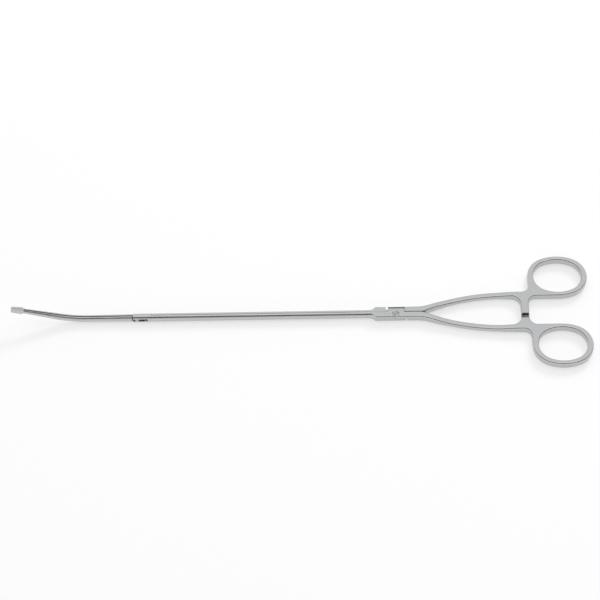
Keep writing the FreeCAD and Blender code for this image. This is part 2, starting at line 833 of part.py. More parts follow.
def make_far_rod():
    """Sliding half of the shaft: half rod, driving web at the jaws and an eye at the handles."""
    start = f"{CLEVIS_X} + Sizes.clevis_rear + Sizes.slide_gap"
    length = "Sizes.pivot_spacing - Sizes.clevis_rear - Sizes.slide_gap - Sizes.flare_start + Sizes.overrun"
    rod = half_round(1, start, length, "far_shaft")
    block_box = box(
        "far_block",
        "Sizes.flare_start - Sizes.far_block_end",
        "Sizes.box_half_width",
        THICKNESS,
        "-Sizes.flare_start",
        "Sizes.rod_gap / 2",
        "0",
    )
    block = in_box("far_block_end", block_box)
    eye = cylinder("far_eye", f"{LINK_Y} - Sizes.flat_gap", LOWER_TOP, LINK_X, LINK_Y)
    neck = box(
        "far_neck",
        f"Sizes.far_block_end + Sizes.overrun + {LINK_X}",
        "Sizes.box_half_width - Sizes.cheek_wall - Sizes.neck_gap - Sizes.flat_gap",
        LOWER_TOP,
        "-Sizes.far_block_end - Sizes.overrun",
        "Sizes.flat_gap",
        "0",
    )
    drive = size("drive_pin_setback") - size("pivot_spacing")
    web_end = size("clevis_rear") - size("web_half_width") - size("pivot_spacing")
    web = link_plate(
        "far_web_plate",
        (drive, 0),
        size("web_half_width"),
        (web_end, 0),
        size("web_half_width"),
        "2 * Sizes.web_half_thickness",
        "Sizes.shaft_radius - Sizes.web_half_thickness",
    )
    root_plate = box(
        "far_web_root",
        "Sizes.web_half_width + 2 * Sizes.slide_gap + Sizes.overrun / 2",
        "Sizes.web_half_width - Sizes.rod_gap / 2",
        "2 * Sizes.web_half_thickness",
        f"{CLEVIS_X} + Sizes.clevis_rear - Sizes.web_half_width",
        "Sizes.rod_gap / 2",
        "Sizes.shaft_radius - Sizes.web_half_thickness",
    )
    joined = fuse("far_rod_joined", rod, block, neck, eye, web, root_plate)
    swing = size("crank") * (1 - math.cos(lean))
    eye_hole = link_plate(
        "far_eye_hole",
        (link.x, link.y - size("seat_fit")),
        size("link_pin_radius") + size("run_fit"),
        (link.x, link.y + swing + size("seat_fit")),
        size("link_pin_radius") + size("run_fit"),
        THICKNESS,
    )
    drive_hole = cylinder(
        "far_drive_hole",
        "Sizes.drive_pin_radius + Sizes.seat_fit",
        THICKNESS,
        f"{CLEVIS_X} + Sizes.drive_pin_setback",
        "0",
        "0",
    )
    slots = [stud_slot(place) for place in STUDS]
    return placed("far_rod", cut("far_rod", joined, eye_hole, drive_hole, *slots), PIVOT_X)


def jaw_cone(name, first_radius, last_radius, length, x, z, angle):
    """Tapered round bar that leaves a point of the jaw's line, rising towards the tip."""
    item = doc.addObject("Part::Cone", name)
    bind(item, Radius1=first_radius, Radius2=last_radius, Height=length)
    item.Placement = Placement(Vector(), Rotation(Vector(0, 1, 0), angle - 90))
    return move(item, x, "0", z)


def jaw_shank():
    """Half-round shank of the far jaw: straight, bent up, then straight again to the head.

    Full round bars on the jaw's line, cut back to the far side of its flat.
    """
    slope = size("jaw_bend_angle")
    reach = "Sizes.jaw_bend_reach"
    root = jaw_cone(
        "jaw_root",
        "Sizes.jaw_root_radius",
        "Sizes.jaw_bend_radius",
        f"Sizes.jaw_bend - {reach} - Sizes.jaw_shoulder / 2",
        "-Sizes.jaw_shoulder / 2",
        "0",
        0,
    )
    bend = doc.addObject("Part::Torus", "jaw_bend")
    bind(
        bend,
        Radius1=f"{reach} / tan(Sizes.jaw_bend_angle / 2)",
        Radius2="Sizes.jaw_bend_radius",
        Angle3="Sizes.jaw_bend_angle",
    )
    turned_up = Rotation(Vector(0, 0, -1), Vector(-1, 0, 0), Vector(0, 1, 0), "XYZ")
    bend.Placement = Placement(Vector(), turned_up)
    move(bend, f"-Sizes.jaw_bend + {reach}", "0", f"{reach} / tan(Sizes.jaw_bend_angle / 2)")
    rise = jaw_cone(
        "jaw_rise",
        "Sizes.jaw_bend_radius",
        "Sizes.jaw_end_radius",
        f"({HEAD_BEND} - Sizes.jaw_bend) / cos(Sizes.jaw_bend_angle) - {reach}",
        f"-Sizes.jaw_bend - {reach} * cos(Sizes.jaw_bend_angle)",
        f"{reach} * sin(Sizes.jaw_bend_angle)",
        slope,
    )
    nose = jaw_cone(
        "jaw_nose",
        "Sizes.jaw_end_radius",
        "Sizes.jaw_nose_radius",
        "Sizes.jaw_nose_length",
        f"-{HEAD_BEND}",
        HEAD_Z,
        size("head_angle"),
    )
    near_side = box(
        "jaw_flat",
        "2 * Sizes.jaw_length",
        "4 * Sizes.jaw_root_radius",
        "2 * Sizes.jaw_length",
        "-1.5 * Sizes.jaw_length",
        "Sizes.jaw_half_gap - 4 * Sizes.jaw_root_radius",
        "-Sizes.jaw_length",
    )
    return cut("jaw_shank", fuse("jaw_bars", root, bend, rise, nose), near_side)


def jaw_head():
    """Square-ended gripping plate of the far jaw, serrated across its inner face."""
    rear = size("head_rear")
    wide = size("head_rear_half")
    narrow = size("head_tip_half")
    corner = size("head_corner")
    angle = math.radians(size("head_angle"))
    # The leaning tip's lower corner is the instrument's foremost point.
    reach = size("head_length") - corner - (narrow - corner) * math.sin(angle)
    tip = -reach / math.cos(angle) - corner
    body = doc.addObject("PartDesign::Body", "jaw_head")
    outline = [
        line((rear - corner, wide), (tip + corner, narrow)),
        arc((tip + corner, narrow - corner), corner, 90, 180),
        line((tip, narrow - corner), (tip, corner - narrow)),
        arc((tip + corner, corner - narrow), corner, 180, 270),
        line((tip + corner, -narrow), (rear - corner, -wide)),
        line((rear - corner, -wide), (rear, corner - wide)),
        line((rear, corner - wide), (rear, wide - corner)),
        line((rear, wide - corner), (rear - corner, wide)),
    ]
    sketch = sketch_in(body, "jaw_head_outline", "XZ_Plane", outline)
    pad = body.newObject("PartDesign::Pad", "jaw_head_plate")
    pad.Profile = sketch
    pad.Reversed = True
    bind(pad, Length="Sizes.head_thickness")
    doc.recompute()
    outer = [
        f"Edge{number}"
        for number, edge in enumerate(pad.Shape.Edges, start=1)
        if all(abs(v.Point.y - size("head_thickness")) < 1e-6 for v in edge.Vertexes)
    ]
    fillet = body.newObject("PartDesign::Fillet", "jaw_head_edges")
    fillet.Base = (pad, outer)
    bind(fillet, Radius="Sizes.head_edge")
    pitch = size("serration_pitch")
    depth = size("serration_depth")
    count = int((rear - tip - 2 * corner) / pitch)
    teeth = []
    for number in range(count):
        at = tip + corner + (number + 0.5) * pitch
        teeth += lines([(at - depth, -size("seat_fit")), (at, depth), (at + depth, -size("seat_fit"))])
    cuts = sketch_in(body, "jaw_serrations", "XY_Plane", teeth)
    pocket = body.newObject("PartDesign::Pocket", "jaw_serrations_cut")
    pocket.Profile = cuts
    pocket.Type = "ThroughAll"
    pocket.SideType = "Two sides"
    pocket.Type2 = "ThroughAll"
    body.Placement = Placement(Vector(), Rotation(Vector(0, 1, 0), size("head_angle")))
    return move(body, f"-{HEAD_BEND}", "Sizes.head_half_gap", HEAD_Z)


def cam_points():
    """Places of the driving pin in the far jaw at rest, half open and open."""
    places = []
    for share in (0, 0.5, 1):
        radius = size("drive_pin_setback") + share * travel
        turn = math.radians(share * size("jaw_open"))
        places.append((radius * math.cos(turn), radius * math.sin(turn)))
    return places


def jaw_tang(name):
    """Upper tang of the far jaw: boss round the pivot pin and a tail with its cam slot."""
    closed, half, opened = cam_points()
    top = "Sizes.slot_half_height - Sizes.layer_gap / 2"
    height = f"{top} - Sizes.layer_gap / 2"
    boss = cylinder(f"{name}_boss", "Sizes.jaw_boss_radius", height, z="Sizes.layer_gap / 2")
    neck = box(
        f"{name}_neck",
        "2 * Sizes.jaw_shoulder",
        "Sizes.jaw_neck_side - Sizes.jaw_half_gap",
        height,
        "-2 * Sizes.jaw_shoulder",
        "Sizes.jaw_half_gap",
        "Sizes.layer_gap / 2",
    )
    wall = size("drive_pin_radius") + size("run_fit") + size("tail_wall")
    tail_bottom = "(Sizes.web_half_thickness + Sizes.tail_clearance)"
    tail_height = f"{top} - {tail_bottom}"
    shank = link_plate(f"{name}_shank", (wall, 0), wall, closed, wall, tail_height, tail_bottom)
    end = link_plate(f"{name}_end", closed, wall, opened, wall, tail_height, tail_bottom)
    slot_radius = size("drive_pin_radius") + size("run_fit")
    below = "-Sizes.overrun"
    first = link_plate(f"{name}_cam_first", closed, slot_radius, half, slot_radius, THICKNESS, below)
    second = link_plate(f"{name}_cam_second", half, slot_radius, opened, slot_radius, THICKNESS, below)
    plates = fuse(f"{name}_plates", boss, neck, shank, end)
    inside = cylinder(
        f"{name}_round",
        "Sizes.shaft_radius - Sizes.rod_gap",
        "2 * Sizes.clevis_rear",
        "-Sizes.clevis_rear",
        direction=Vector(1, 0, 0),
    )
    return cut(name, common(f"{name}_kept", plates, inside), first, second)


def flipped(name, source):
    """Half a turn of a piece about the shaft's axis."""
    item = doc.addObject("Part::Feature", name)
    doc.recompute()
    shape = source.Shape.copy()
    shape.rotate(Vector(), Vector(1, 0, 0), 180)
    item.Shape = shape
    return item


def shoulder_cutter(name, side):
    """What a jaw leaves free: the head of the shaft in front of it and its twin's boss."""
    slant = math.radians(size("jaw_open"))
    front = size("jaw_shoulder")
    reach = size("jaw_root_radius") + size("overrun")
    back = size("jaw_boss_radius")
    wedge = lines(
        [
            (back, -reach * side),
            (-front, -reach * side),
            (-front, 0),
            (-front - reach * math.tan(slant), reach * side),
            (back, reach * side),
        ]
    )
    upper = padded(f"{name}_upper", "XY_Plane", wedge, "2 * Sizes.jaw_root_radius")
    lower = padded(f"{name}_lower", "XY_Plane", wedge, "2 * Sizes.jaw_root_radius", reverse=True)
    twin = cylinder(
        f"{name}_twin",
        "Sizes.jaw_boss_radius + Sizes.slide_gap",
        "Sizes.slot_half_height",
        z="-Sizes.slot_half_height" if side > 0 else "0",
    )
    return fuse(name, upper, lower, twin)


def make_jaw(label, side, body, tang):
    """Jaw on one side: its body with the shoulder cut, joined to its tang and bored."""
    shaped = cut(f"{label}_body", body, shoulder_cutter(f"{label}_shoulder", side))
    joined = fuse(f"{label}_joined", shaped, tang)
    bore = cylinder(
        f"{label}_bore", "Sizes.jaw_pin_radius + Sizes.run_fit", THICKNESS, z="-Sizes.shaft_radius"
    )
    return placed(label, cut(label, joined, bore), JAW_X, "0", AXIS_Z)


def make_pin(label, radius, low, high, x, y, chamfer=size("pin_edge")):
    """Plain round pin on end with broken edges."""
    profile = [
        (0, low),
        (radius - chamfer, low),
        (radius, low + chamfer),
        (radius, high - chamfer),
        (radius - chamfer, high),
        (0, high),
    ]
    return placed(label, turned(label, profile), x, y, "0")


def make_jaw_pin():
    """Jaw pivot pin, its ends ground flush with the shaft's round head."""
    bar = cylinder("jaw_pin_bar", "Sizes.jaw_pin_radius", THICKNESS)
    skin = cylinder(
        "jaw_pin_skin",
        "Sizes.shaft_radius",
        "4 * Sizes.jaw_pin_radius",
        "-2 * Sizes.jaw_pin_radius",
        "0",
        AXIS_Z,
        Vector(1, 0, 0),
    )
    return placed("jaw_pivot_pin", common("jaw_pivot_pin", bar, skin), JAW_X)


def make_screw():
    """Pivot screw: slotted domed head in the near handle, shank down into the far handle."""
    radius = size("screw_radius")
    head = size("screw_head_radius")
    top = 2 * axis_z
    seat = top - size("screw_head_depth") + size("run_fit")
    dome = size("screw_dome")
    recess = size("pin_recess")
    edge = size("screw_edge")
    profile = [
        (0, recess),
        (radius - edge, recess),
        (radius, recess + edge),
        (radius, seat),
        (head, seat),
        (head, top - edge),
        (head - edge, top),
        (head / 2, top + 0.75 * dome),
        (0, top + dome),
    ]
    blank = turned("pivot_screw_blank", profile)
    end = Rotation(Vector(0, 0, 1), size("screw_slot_turn")).multVec(Vector(2 * head, 0, 0))
    slot = link_plate(
        "pivot_screw_slot",
        -end,
        size("screw_slot") / 2,
        end,
        size("screw_slot") / 2,
        "Sizes.screw_head_depth",
        f"{THICKNESS} - Sizes.screw_head_depth / 2",
    )
    return placed("pivot_screw", cut("pivot_screw", blank, slot), PIVOT_X, "-Sizes.pivot_offset")


def make_stud(place):
    """T-headed guide stud, fixed in the near rod and running in the far rod's slot."""
    radius = size("stud_radius")
    head = size("stud_head_radius")
    start = size("stud_head_start")
    end = start + size("stud_head_length")
    profile = [
        (0, -size("stud_depth")),
        (radius, -size("stud_depth")),
        (radius, start),
        (head, start),
        (head, end - size("pin_edge")),
        (head - size("pin_edge"), end),
        (0, end),
    ]
    label = f"guide_stud_{place}"
    body = turned(label, profile)
    body.Placement = Placement(Vector(), Rotation(Vector(1, 0, 0), -90))
    return placed(label, body, f"{PIVOT_X} - Sizes.stud_{place}_setback", "0", AXIS_Z)


blank = handle_blank()
parts = [make_far_handle(blank), make_near_handle(blank), make_near_rod(), make_far_rod()]
jaw_body = fuse("jaw_body", jaw_shank(), jaw_head())
tang = jaw_tang("jaw_tang")
parts.append(make_jaw("far_jaw", 1, jaw_body, tang))
parts.append(make_jaw("near_jaw", -1, mirrored("jaw_body_mirrored", jaw_body), flipped("near_tang", tang)))
parts.append(make_screw())
parts.append(
    make_pin(
        "link_pin",
        size("link_pin_radius"),
        size("pin_recess"),
        size("lever_top"),
        f"{PIVOT_X} + {LINK_X}",
        LINK_Y,
    )
)
parts.append(make_jaw_pin())
reach = size("slot_half_height") - size("slide_gap")
parts.append(
    make_pin(
        "jaw_drive_pin",
        size("drive_pin_radius"),
        axis_z - reach,
        axis_z + reach,
        f"{JAW_X} + Sizes.drive_pin_setback",
        "0",
    )
)
for place, where in RIVETS.items():
    parts.append(
        make_pin(
            f"rod_rivet_{place}",
            size("rivet_radius"),
            0,
            2 * axis_z,
            f"{PIVOT_X} + {where}",
            RIVET_Y,
            size("rivet_edge"),
        )
    )
for place in STUDS:
    parts.append(make_stud(place))

doc.recompute()
for item in doc.Objects:
    if {"Invalid", "Error"} & set(item.State):
        raise RuntimeError(f"{item.Name} failed: {item.State}")
os.makedirs("parts", exist_ok=True)
for item in parts:
    shape = item.Shape
    if shape.isNull() or not shape.isValid() or not shape.Solids:
        raise RuntimeError(f"{item.Label} has no valid solid")
for item in parts:
    item.Shape.exportStep(f"parts/{item.Label}.step")
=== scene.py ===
"""Looks of a pair of thoracoscopic forceps, lying on a white table.

The instrument is all stainless steel: forged handles and drawn rods and jaws with a satin finish,
and turned pins, studs and a slotted screw. Every visible surface starts from the solids of the
frame, so sizes stay those of the solids. Lengths are metres; sizes in names that end in _mm are
millimetres.
"""

import json
import logging
import math
from dataclasses import dataclass
from enum import Enum

import bpy
import numpy as np
from mathutils import Matrix
from mathutils import Vector


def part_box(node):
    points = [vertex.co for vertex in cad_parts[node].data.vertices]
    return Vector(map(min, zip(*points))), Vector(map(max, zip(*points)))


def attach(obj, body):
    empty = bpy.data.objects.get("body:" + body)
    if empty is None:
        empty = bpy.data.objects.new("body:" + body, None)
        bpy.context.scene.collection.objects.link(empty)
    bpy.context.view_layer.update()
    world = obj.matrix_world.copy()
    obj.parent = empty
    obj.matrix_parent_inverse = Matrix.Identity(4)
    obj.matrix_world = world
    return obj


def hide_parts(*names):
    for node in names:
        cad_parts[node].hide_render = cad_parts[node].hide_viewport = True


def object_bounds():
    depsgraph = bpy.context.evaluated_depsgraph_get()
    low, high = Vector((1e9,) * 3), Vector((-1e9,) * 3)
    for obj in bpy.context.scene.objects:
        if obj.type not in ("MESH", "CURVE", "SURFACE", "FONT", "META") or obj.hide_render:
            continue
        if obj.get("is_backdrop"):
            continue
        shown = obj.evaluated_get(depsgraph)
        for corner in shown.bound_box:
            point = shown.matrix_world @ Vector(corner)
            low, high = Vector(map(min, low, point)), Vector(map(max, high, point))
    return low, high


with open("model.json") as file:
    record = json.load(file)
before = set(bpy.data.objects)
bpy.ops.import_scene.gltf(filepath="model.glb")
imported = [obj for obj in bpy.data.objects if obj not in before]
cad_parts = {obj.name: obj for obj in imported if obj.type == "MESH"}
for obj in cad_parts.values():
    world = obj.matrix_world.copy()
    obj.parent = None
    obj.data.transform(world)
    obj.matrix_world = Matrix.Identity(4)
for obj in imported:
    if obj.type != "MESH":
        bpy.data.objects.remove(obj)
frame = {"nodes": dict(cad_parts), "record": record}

LOG = logging.getLogger("forceps")
MM = 0.001
WHITE = "FFFFFF"
# Points of a solid's skin that round to the same multiple of this length become one.
WELD = 1e-7
# Faces that meet at more than this angle keep a sharp edge.
SHARP_ANGLE = math.radians(26)
# Above 50, a large face counts for more than a small one in the shading of their common corners.
FACE_WEIGHT = 80
# Distance between the rings of a ring wave whose scale is 1.
RING_PERIOD = math.pi / 10


class Lay(Enum):
    """Which way the fine marks of a finish run."""

    EVEN = "even"
    LENGTHWISE = "lengthwise"


def linear(hex_colour: str) -> tuple[float, float, float, float]:
    """Linear colour of an sRGB hex value.

    Args:
        hex_colour: Six hex digits, such as "C8C8C9".

    Returns:
        Red, green, blue and an alpha of 1, for a colour socket.
    """
    values = [int(hex_colour[i : i + 2], 16) / 255 for i in (0, 2, 4)]
    curve = [v / 12.92 if v <= 0.04045 else ((v + 0.055) / 1.055) ** 2.4 for v in values]
    return (curve[0], curve[1], curve[2], 1.0)


def add_node(
    tree: bpy.types.NodeTree,
    kind: str,
    settings: dict[str, object] | None = None,
    **sockets: object,
) -> bpy.types.Node:
    """Adds a node, sets it up and links its inputs.

    Args:
        tree: Node tree that gets the node.
        kind: Type name of the node.
        settings: Properties of the node itself, such as its operation.
        **sockets: Input name, with spaces as underscores, or iN for input number N. An output
            socket is linked and any other value is set on the socket.

    Returns:
        The new node.
    """
    node = tree.nodes.new(kind)
    for name, value in (settings or {}).items():
        setattr(node, name, value)
    for name, value in sockets.items():
        numbered = name[0] == "i" and name[1:].isdigit()
        socket = node.inputs[int(name[1:]) if numbered else name.replace("_", " ")]
        if isinstance(value, bpy.types.NodeSocket):
            tree.links.new(value, socket)
        else:
            socket.default_value = value
    return node


def blank_material(name: str) -> bpy.types.Material:
    """New material with an empty node tree."""
    material = bpy.data.materials.new(name)
    material.use_nodes = True
    material.node_tree.nodes.clear()
    return material


@dataclass(frozen=True)
class SatinSteel:
    """Martensitic stainless steel, peened with glass beads and then satin brushed.

    The beads leave a soft even grain that spreads every reflection, and the brush adds faint lines
    along the work. Handling has polished the edges a little brighter than the faces. Slits and
    joints are darkened with painted shade: the less sky a spot sees near it, the darker its colour.
    """

    name: str = "satin_steel"
    colour: str = "C6C7C8"
    worn_colour: str = "D2D2D2"
    # Painted shade: the dark grey that slits and joints are darkened towards.
    painted_shade_colour: str = "4A4B4D"
    roughness: float = 0.31
    edge_roughness: float = 0.24
    edge_round_mm: float = 0.12
    # Cosines of the turn from a face into its rounded edge where wear starts and where it is full.
    wear_cosines: tuple[float, float] = (0.999, 0.93)
    painted_shade_reach_mm: float = 1.3
    #     Shares of the sky seen within the reach at which the painted shade is full and at which it
    #     is gone.
    painted_shade_sky: tuple[float, float] = (0.25, 0.75)
    lay: Lay = Lay.EVEN
    # Beads of 0.1 mm leave dimples too fine for the picture, so they are drawn 0.45 mm across.
    grain_mm: float = 0.45
    grain_depth_mm: float = 0.003
    # The brush's lines are finer still, about 0.03 mm, and are drawn 0.22 mm wide to show at all.
    line_width_mm: float = 0.22
    line_length_mm: float = 14.0
    line_depth_mm: float = 0.003
    patch_mm: float = 16.0
    patch_change: float = 0.045
    # Values between which most of the patches' noise lies.
    patch_noise: tuple[float, float] = (0.3, 0.7)
    # Rays that look for the edges and the slits near a spot.
    ray_samples: int = 8

    def marks(self, tree: bpy.types.NodeTree, place: bpy.types.NodeSocket) -> bpy.types.NodeSocket:
        """Height of the brush marks: noise drawn out along the lay, or even all round.

        Args:
            tree: Node tree of the material.
            place: Object coordinates, in metres.

        Returns:
            Socket with a height from 0 to 1.
        """
        across = 1 / (self.line_width_mm * MM)
        along = 1 / (self.line_length_mm * MM) if self.lay is Lay.LENGTHWISE else across
        drawn = add_node(tree, "ShaderNodeMapping", Vector=place, Scale=(along, across, across))
        noise = add_node(
            tree,
            "ShaderNodeTexNoise",
            Vector=drawn.outputs["Vector"],
            Scale=1.0,
            Detail=2.0,
            Roughness=0.6,
        )
        return noise.outputs["Fac"]

    def relief(
        self, tree: bpy.types.NodeTree, place: bpy.types.NodeSocket, rounded: bpy.types.NodeSocket
    ) -> bpy.types.NodeSocket:
        """Normal of the finish: the brush marks and then the beads' grain, over rounded edges.

        Args:
            tree: Node tree of the material.
            place: Object coordinates, in metres.
            rounded: Normal with the edges rounded.

        Returns:
            Socket with the normal.
        """
        brushed = add_node(
            tree,
            "ShaderNodeBump",
            Height=self.marks(tree, place),
            Distance=self.line_depth_mm * MM,
            Strength=1.0,
            Normal=rounded,
        )
        grain = add_node(
            tree,
            "ShaderNodeTexNoise",
            Vector=place,
            Scale=1 / (self.grain_mm * MM),
            Detail=3.0,
            Roughness=0.55,
        )
        peened = add_node(
            tree,
            "ShaderNodeBump",
            Height=grain.outputs["Fac"],
            Distance=self.grain_depth_mm * MM,
            Strength=1.0,
            Normal=brushed.outputs["Normal"],
        )
        return peened.outputs["Normal"]

    def wear(
        self, tree: bpy.types.NodeTree, rounded: bpy.types.NodeSocket
    ) -> bpy.types.NodeSocket:
        """How worn a spot is, by how far the rounded edge turns it from its face.

        Args:
            tree: Node tree of the material.
            rounded: Normal with the edges rounded.

        Returns:
            Socket from 0 on a face to 1 on an edge.
        """
        face = add_node(tree, "ShaderNodeNewGeometry")
        facing = add_node(
            tree,
            "ShaderNodeVectorMath",
            {"operation": "DOT_PRODUCT"},
            i0=rounded,
            i1=face.outputs["Normal"],
        )
        worn = add_node(
            tree,
            "ShaderNodeMapRange",
            {"clamp": True},
            Value=facing.outputs["Value"],
            From_Min=self.wear_cosines[0],
            From_Max=self.wear_cosines[1],
            To_Min=0.0,
            To_Max=1.0,
        )
        return worn.outputs["Result"]

    def tint(self, tree: bpy.types.NodeTree, worn: bpy.types.NodeSocket) -> bpy.types.NodeSocket:
        """Colour of a spot: brighter where it is worn, and darkened with painted shade where a slit
        or joint hides it from the sky.

        Args:
            tree: Node tree of the material.
            worn: How worn a spot is.

        Returns:
            Socket with the colour.
        """
        clean = add_node(
            tree,
            "ShaderNodeMix",
            {"data_type": "RGBA"},
            i0=worn,
            i6=linear(self.colour),
            i7=linear(self.worn_colour),
        )
        # Painted shade: the less sky a spot sees within the reach, the darker its colour is
        # painted.
        sky = add_node(
            tree,
            "ShaderNodeAmbientOcclusion",
            {"samples": self.ray_samples},
            Distance=self.painted_shade_reach_mm * MM,
        )
        painted_shade_amount = add_node(
            tree,
            "ShaderNodeMapRange",
            {"clamp": True},
            Value=sky.outputs["AO"],
            From_Min=self.painted_shade_sky[0],
            From_Max=self.painted_shade_sky[1],
            To_Min=1.0,
            To_Max=0.0,
        )
        shaded = add_node(
            tree,
            "ShaderNodeMix",
            {"data_type": "RGBA"},
            i0=painted_shade_amount.outputs["Result"],
            i6=clean.outputs["Result"],
            i7=linear(self.painted_shade_colour),
        )
        return shaded.outputs["Result"]

    def gloss(
        self, tree: bpy.types.NodeTree, place: bpy.types.NodeSocket, worn: bpy.types.NodeSocket
    ) -> bpy.types.NodeSocket:
        """Roughness of a spot: it changes a little by patches, and worn edges have their own.

        Args:
            tree: Node tree of the material.
            place: Object coordinates, in metres.
            worn: How worn a spot is.

        Returns:
            Socket with the roughness.
        """
        patches = add_node(
            tree,
            "ShaderNodeTexNoise",
            Vector=place,
            Scale=1 / (self.patch_mm * MM),
            Detail=4.0,
            Roughness=0.6,
        )
        uneven = add_node(
            tree,
            "ShaderNodeMapRange",
            Value=patches.outputs["Fac"],
            From_Min=self.patch_noise[0],
            From_Max=self.patch_noise[1],
            To_Min=self.roughness - self.patch_change,
            To_Max=self.roughness + self.patch_change,
        )
        mixed = add_node(
            tree,
            "ShaderNodeMix",
            {"data_type": "FLOAT"},
            i0=worn,
            i2=uneven.outputs["Result"],
            i3=self.edge_roughness,
        )
        return mixed.outputs["Result"]

    def build(self) -> bpy.types.Material:
        """Makes the material.

        Returns:
            A material with grain, brush marks, uneven gloss, worn edges and painted shade in the
            slits.
        """
        material = blank_material(self.name)
        tree = material.node_tree
        place = add_node(tree, "ShaderNodeTexCoord").outputs["Object"]
        edges = add_node(
            tree, "ShaderNodeBevel", {"samples": self.ray_samples}, Radius=self.edge_round_mm * MM
        )
        rounded = edges.outputs["Normal"]
        worn = self.wear(tree, rounded)
        shader = add_node(
            tree,
            "ShaderNodeBsdfPrincipled",
            Base_Color=self.tint(tree, worn),
            Metallic=1.0,
            Roughness=self.gloss(tree, place, worn),
            Normal=self.relief(tree, place, rounded),
        )
        add_node(tree, "ShaderNodeOutputMaterial", Surface=shader.outputs["BSDF"])
        return material


@dataclass(frozen=True)
class TurnedSteel:
    """Stainless bar turned on a lathe: fine rings, and a little glossier than the satin parts."""

    name: str
    axis: tuple[float, float]
    colour: str = "BFC0C2"
    roughness: float = 0.28
    edge_round_mm: float = 0.08
    # The turning tool's feed marks are 0.05 mm apart and are drawn 0.2 mm apart, so that they show.
    feed_mm: float = 0.2
    feed_depth_mm: float = 0.004
    # How much the rings stray from true circles, as the tool chatters.
    waver: float = 0.4
    ray_samples: int = 6

    def build(self) -> bpy.types.Material:
        """Makes the material, with its rings centred on an upright axis.

        Returns:
            A material with concentric turning marks.
        """
        material = blank_material(self.name)
        tree = material.node_tree
        place = add_node(tree, "ShaderNodeTexCoord").outputs["Object"]
        centre = (-self.axis[0], -self.axis[1], 0.0)
        centred = add_node(tree, "ShaderNodeMapping", Vector=place, Location=centre)
        rings = add_node(
            tree,
            "ShaderNodeTexWave",
            {"wave_type": "RINGS", "rings_direction": "Z"},
            Vector=centred.outputs["Vector"],
            Scale=RING_PERIOD / (self.feed_mm * MM),
            Distortion=self.waver,
            Detail=1.0,
        )
        rounded = add_node(
            tree, "ShaderNodeBevel", {"samples": self.ray_samples}, Radius=self.edge_round_mm * MM
        )
        turned = add_node(
            tree,
            "ShaderNodeBump",
            Height=rings.outputs["Fac"],
            Distance=self.feed_depth_mm * MM,
            Strength=1.0,
            Normal=rounded.outputs["Normal"],
        )
        shader = add_node(
            tree,
            "ShaderNodeBsdfPrincipled",
            Base_Color=linear(self.colour),
            Metallic=1.0,
            Roughness=self.roughness,
            Normal=turned.outputs["Normal"],
        )
        add_node(tree, "ShaderNodeOutputMaterial", Surface=shader.outputs["BSDF"])
        return material


def mesh_from_arrays(name: str, points: np.ndarray, faces: np.ndarray) -> bpy.types.Mesh:
    """Mesh of equal-sided faces from whole arrays.

    Args:
        name: Name of the mesh.
        points: N by 3 places, in metres.
        faces: M by 3 or M by 4 point numbers, anticlockwise from outside.

    Returns:
        The mesh, shaded smooth.
    """
    sides = faces.shape[1]
    mesh = bpy.data.meshes.new(name)
    mesh.vertices.add(len(points))
    mesh.vertices.foreach_set("co", points.astype(np.float32).ravel())
    mesh.loops.add(faces.size)
    mesh.loops.foreach_set("vertex_index", faces.astype(np.int32).ravel())
    mesh.polygons.add(len(faces))
    mesh.polygons.foreach_set("loop_start", np.arange(0, faces.size, sides, dtype=np.int32))
    mesh.polygons.foreach_set("use_smooth", np.ones(len(faces), dtype=bool))
    mesh.update(calc_edges=True)
    mesh.validate()
    return mesh


def welded(source: bpy.types.Object, name: str) -> bpy.types.Mesh:
    """Copy of a solid's skin whose loose triangles are joined along their edges.

    Points that are as good as equal become one, and triangles that lose a corner are dropped.

    Args:
        source: Node of the frame.
        name: Name of the new mesh.

    Returns:
        The joined mesh, sharp only along its true edges.
    """
    mesh = source.data
    mesh.calc_loop_triangles()
    corners = np.empty(len(mesh.loop_triangles) * 3, dtype=np.int32)
    mesh.loop_triangles.foreach_get("vertices", corners)
    places = np.empty(len(mesh.vertices) * 3, dtype=np.float32)
    mesh.vertices.foreach_get("co", places)
    keys = np.round(places.reshape(-1, 3).astype(np.float64) / WELD).astype(np.int64)
    _, first, number = np.unique(keys, axis=0, return_index=True, return_inverse=True)
    points = places.reshape(-1, 3)[first]
    faces = number.ravel()[corners].reshape(-1, 3)
    whole = np.all(faces != np.roll(faces, 1, axis=1), axis=1)
    joined = mesh_from_arrays(name, points, faces[whole])
    joined.set_sharp_from_angle(angle=SHARP_ANGLE)
    return joined


